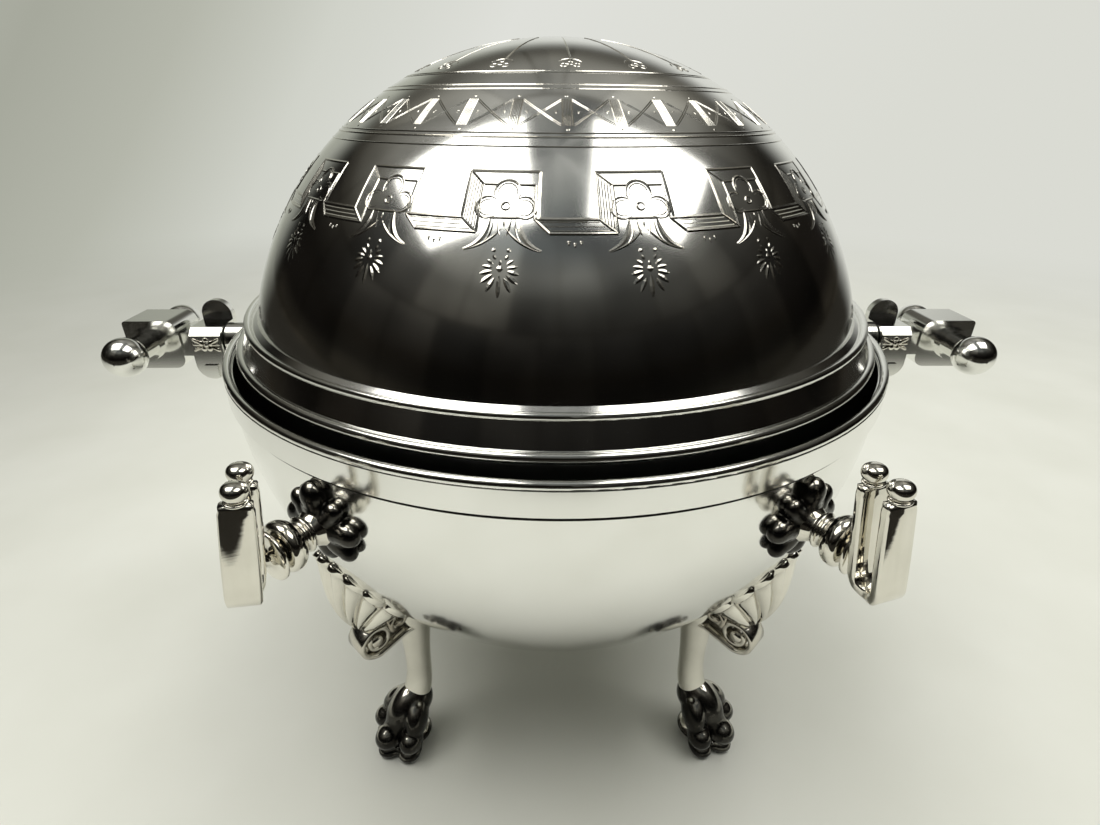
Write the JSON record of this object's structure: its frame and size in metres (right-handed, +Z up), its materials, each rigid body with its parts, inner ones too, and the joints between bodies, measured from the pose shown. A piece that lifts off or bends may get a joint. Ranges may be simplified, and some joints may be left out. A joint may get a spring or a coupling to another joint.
{
  "type": "covered butter dish",
  "caption": "Round silver-plated butter dish on paw feet, with a dome that rolls back on side pivots, a lift-out pan and drainer, and knife rests in front.",
  "frame": {"origin": "point on the table midway between the four feet", "axes": "+X through the side pivots to the right-hand handle, +Y away from the knife rests, +Z up through the top of the dome"},
  "size_m": [0.2088, 0.1553, 0.1639],
  "materials": {
    "engraved_silver": "bright silver plate with fine engraving",
    "bowl_silver": "bright polished silver plate",
    "cast_silver": "polished cast silver plate, darker in the hollows",
    "inner_silver": "satin silver plate",
    "steel": "turned pin"
  },
  "bodies": {
    "bowl": {"bowl_shell": "bowl_silver", "foot_fan_back_left": "cast_silver", "foot_fan_back_right": "cast_silver", "foot_fan_front_left": "cast_silver", "foot_fan_front_right": "cast_silver", "fork_ball_back_left": "cast_silver", "fork_ball_back_right": "cast_silver", "fork_ball_front_left": "cast_silver", "fork_ball_front_right": "cast_silver", "knife_arm_left": "cast_silver", "knife_arm_right": "cast_silver", "knife_fork_left": "cast_silver", "knife_fork_right": "cast_silver", "knife_leaf_left": "cast_silver", "knife_leaf_right": "cast_silver", "leg_back_left": "cast_silver", "leg_back_right": "cast_silver", "leg_front_left": "cast_silver", "leg_front_right": "cast_silver", "pivot_bush_left": "cast_silver", "pivot_bush_right": "cast_silver", "rim_band": "bowl_silver", "rim_bead": "cast_silver"},
    "dome": {"dome_ear_left": "cast_silver", "dome_ear_right": "cast_silver", "dome_lower_bead": "cast_silver", "dome_shell": "engraved_silver", "dome_upper_bead": "cast_silver", "handle_ball_back_left": "cast_silver", "handle_ball_back_right": "cast_silver", "handle_ball_front_left": "cast_silver", "handle_ball_front_right": "cast_silver", "handle_bar_left": "cast_silver", "handle_bar_right": "cast_silver", "handle_bracket_left": "cast_silver", "handle_bracket_right": "cast_silver", "handle_head_left": "cast_silver", "handle_head_right": "cast_silver", "pivot_shaft_left": "steel", "pivot_shaft_right": "steel"},
    "liner": {"liner_ear_left": "cast_silver", "liner_ear_right": "cast_silver", "liner_pan": "inner_silver", "liner_rim_wire": "cast_silver"},
    "drainer": {"drainer_plate": "inner_silver"}
  },
  "joints": [
    {"name": "dome_turn", "type": "hinge", "parent": "bowl", "child": "dome", "pos_m": [0, 0, 0.099], "axis": [-1, 0, 0], "range_deg": [0, 180]},
    {"name": "liner_lift", "type": "slide", "parent": "bowl", "child": "liner", "axis": [0, 0, 1], "range_m": [0, 0.007]},
    {"name": "drainer_lift", "type": "slide", "parent": "liner", "child": "drainer", "axis": [0, 0, 1], "range_m": [0, 0.008]}
  ]
}
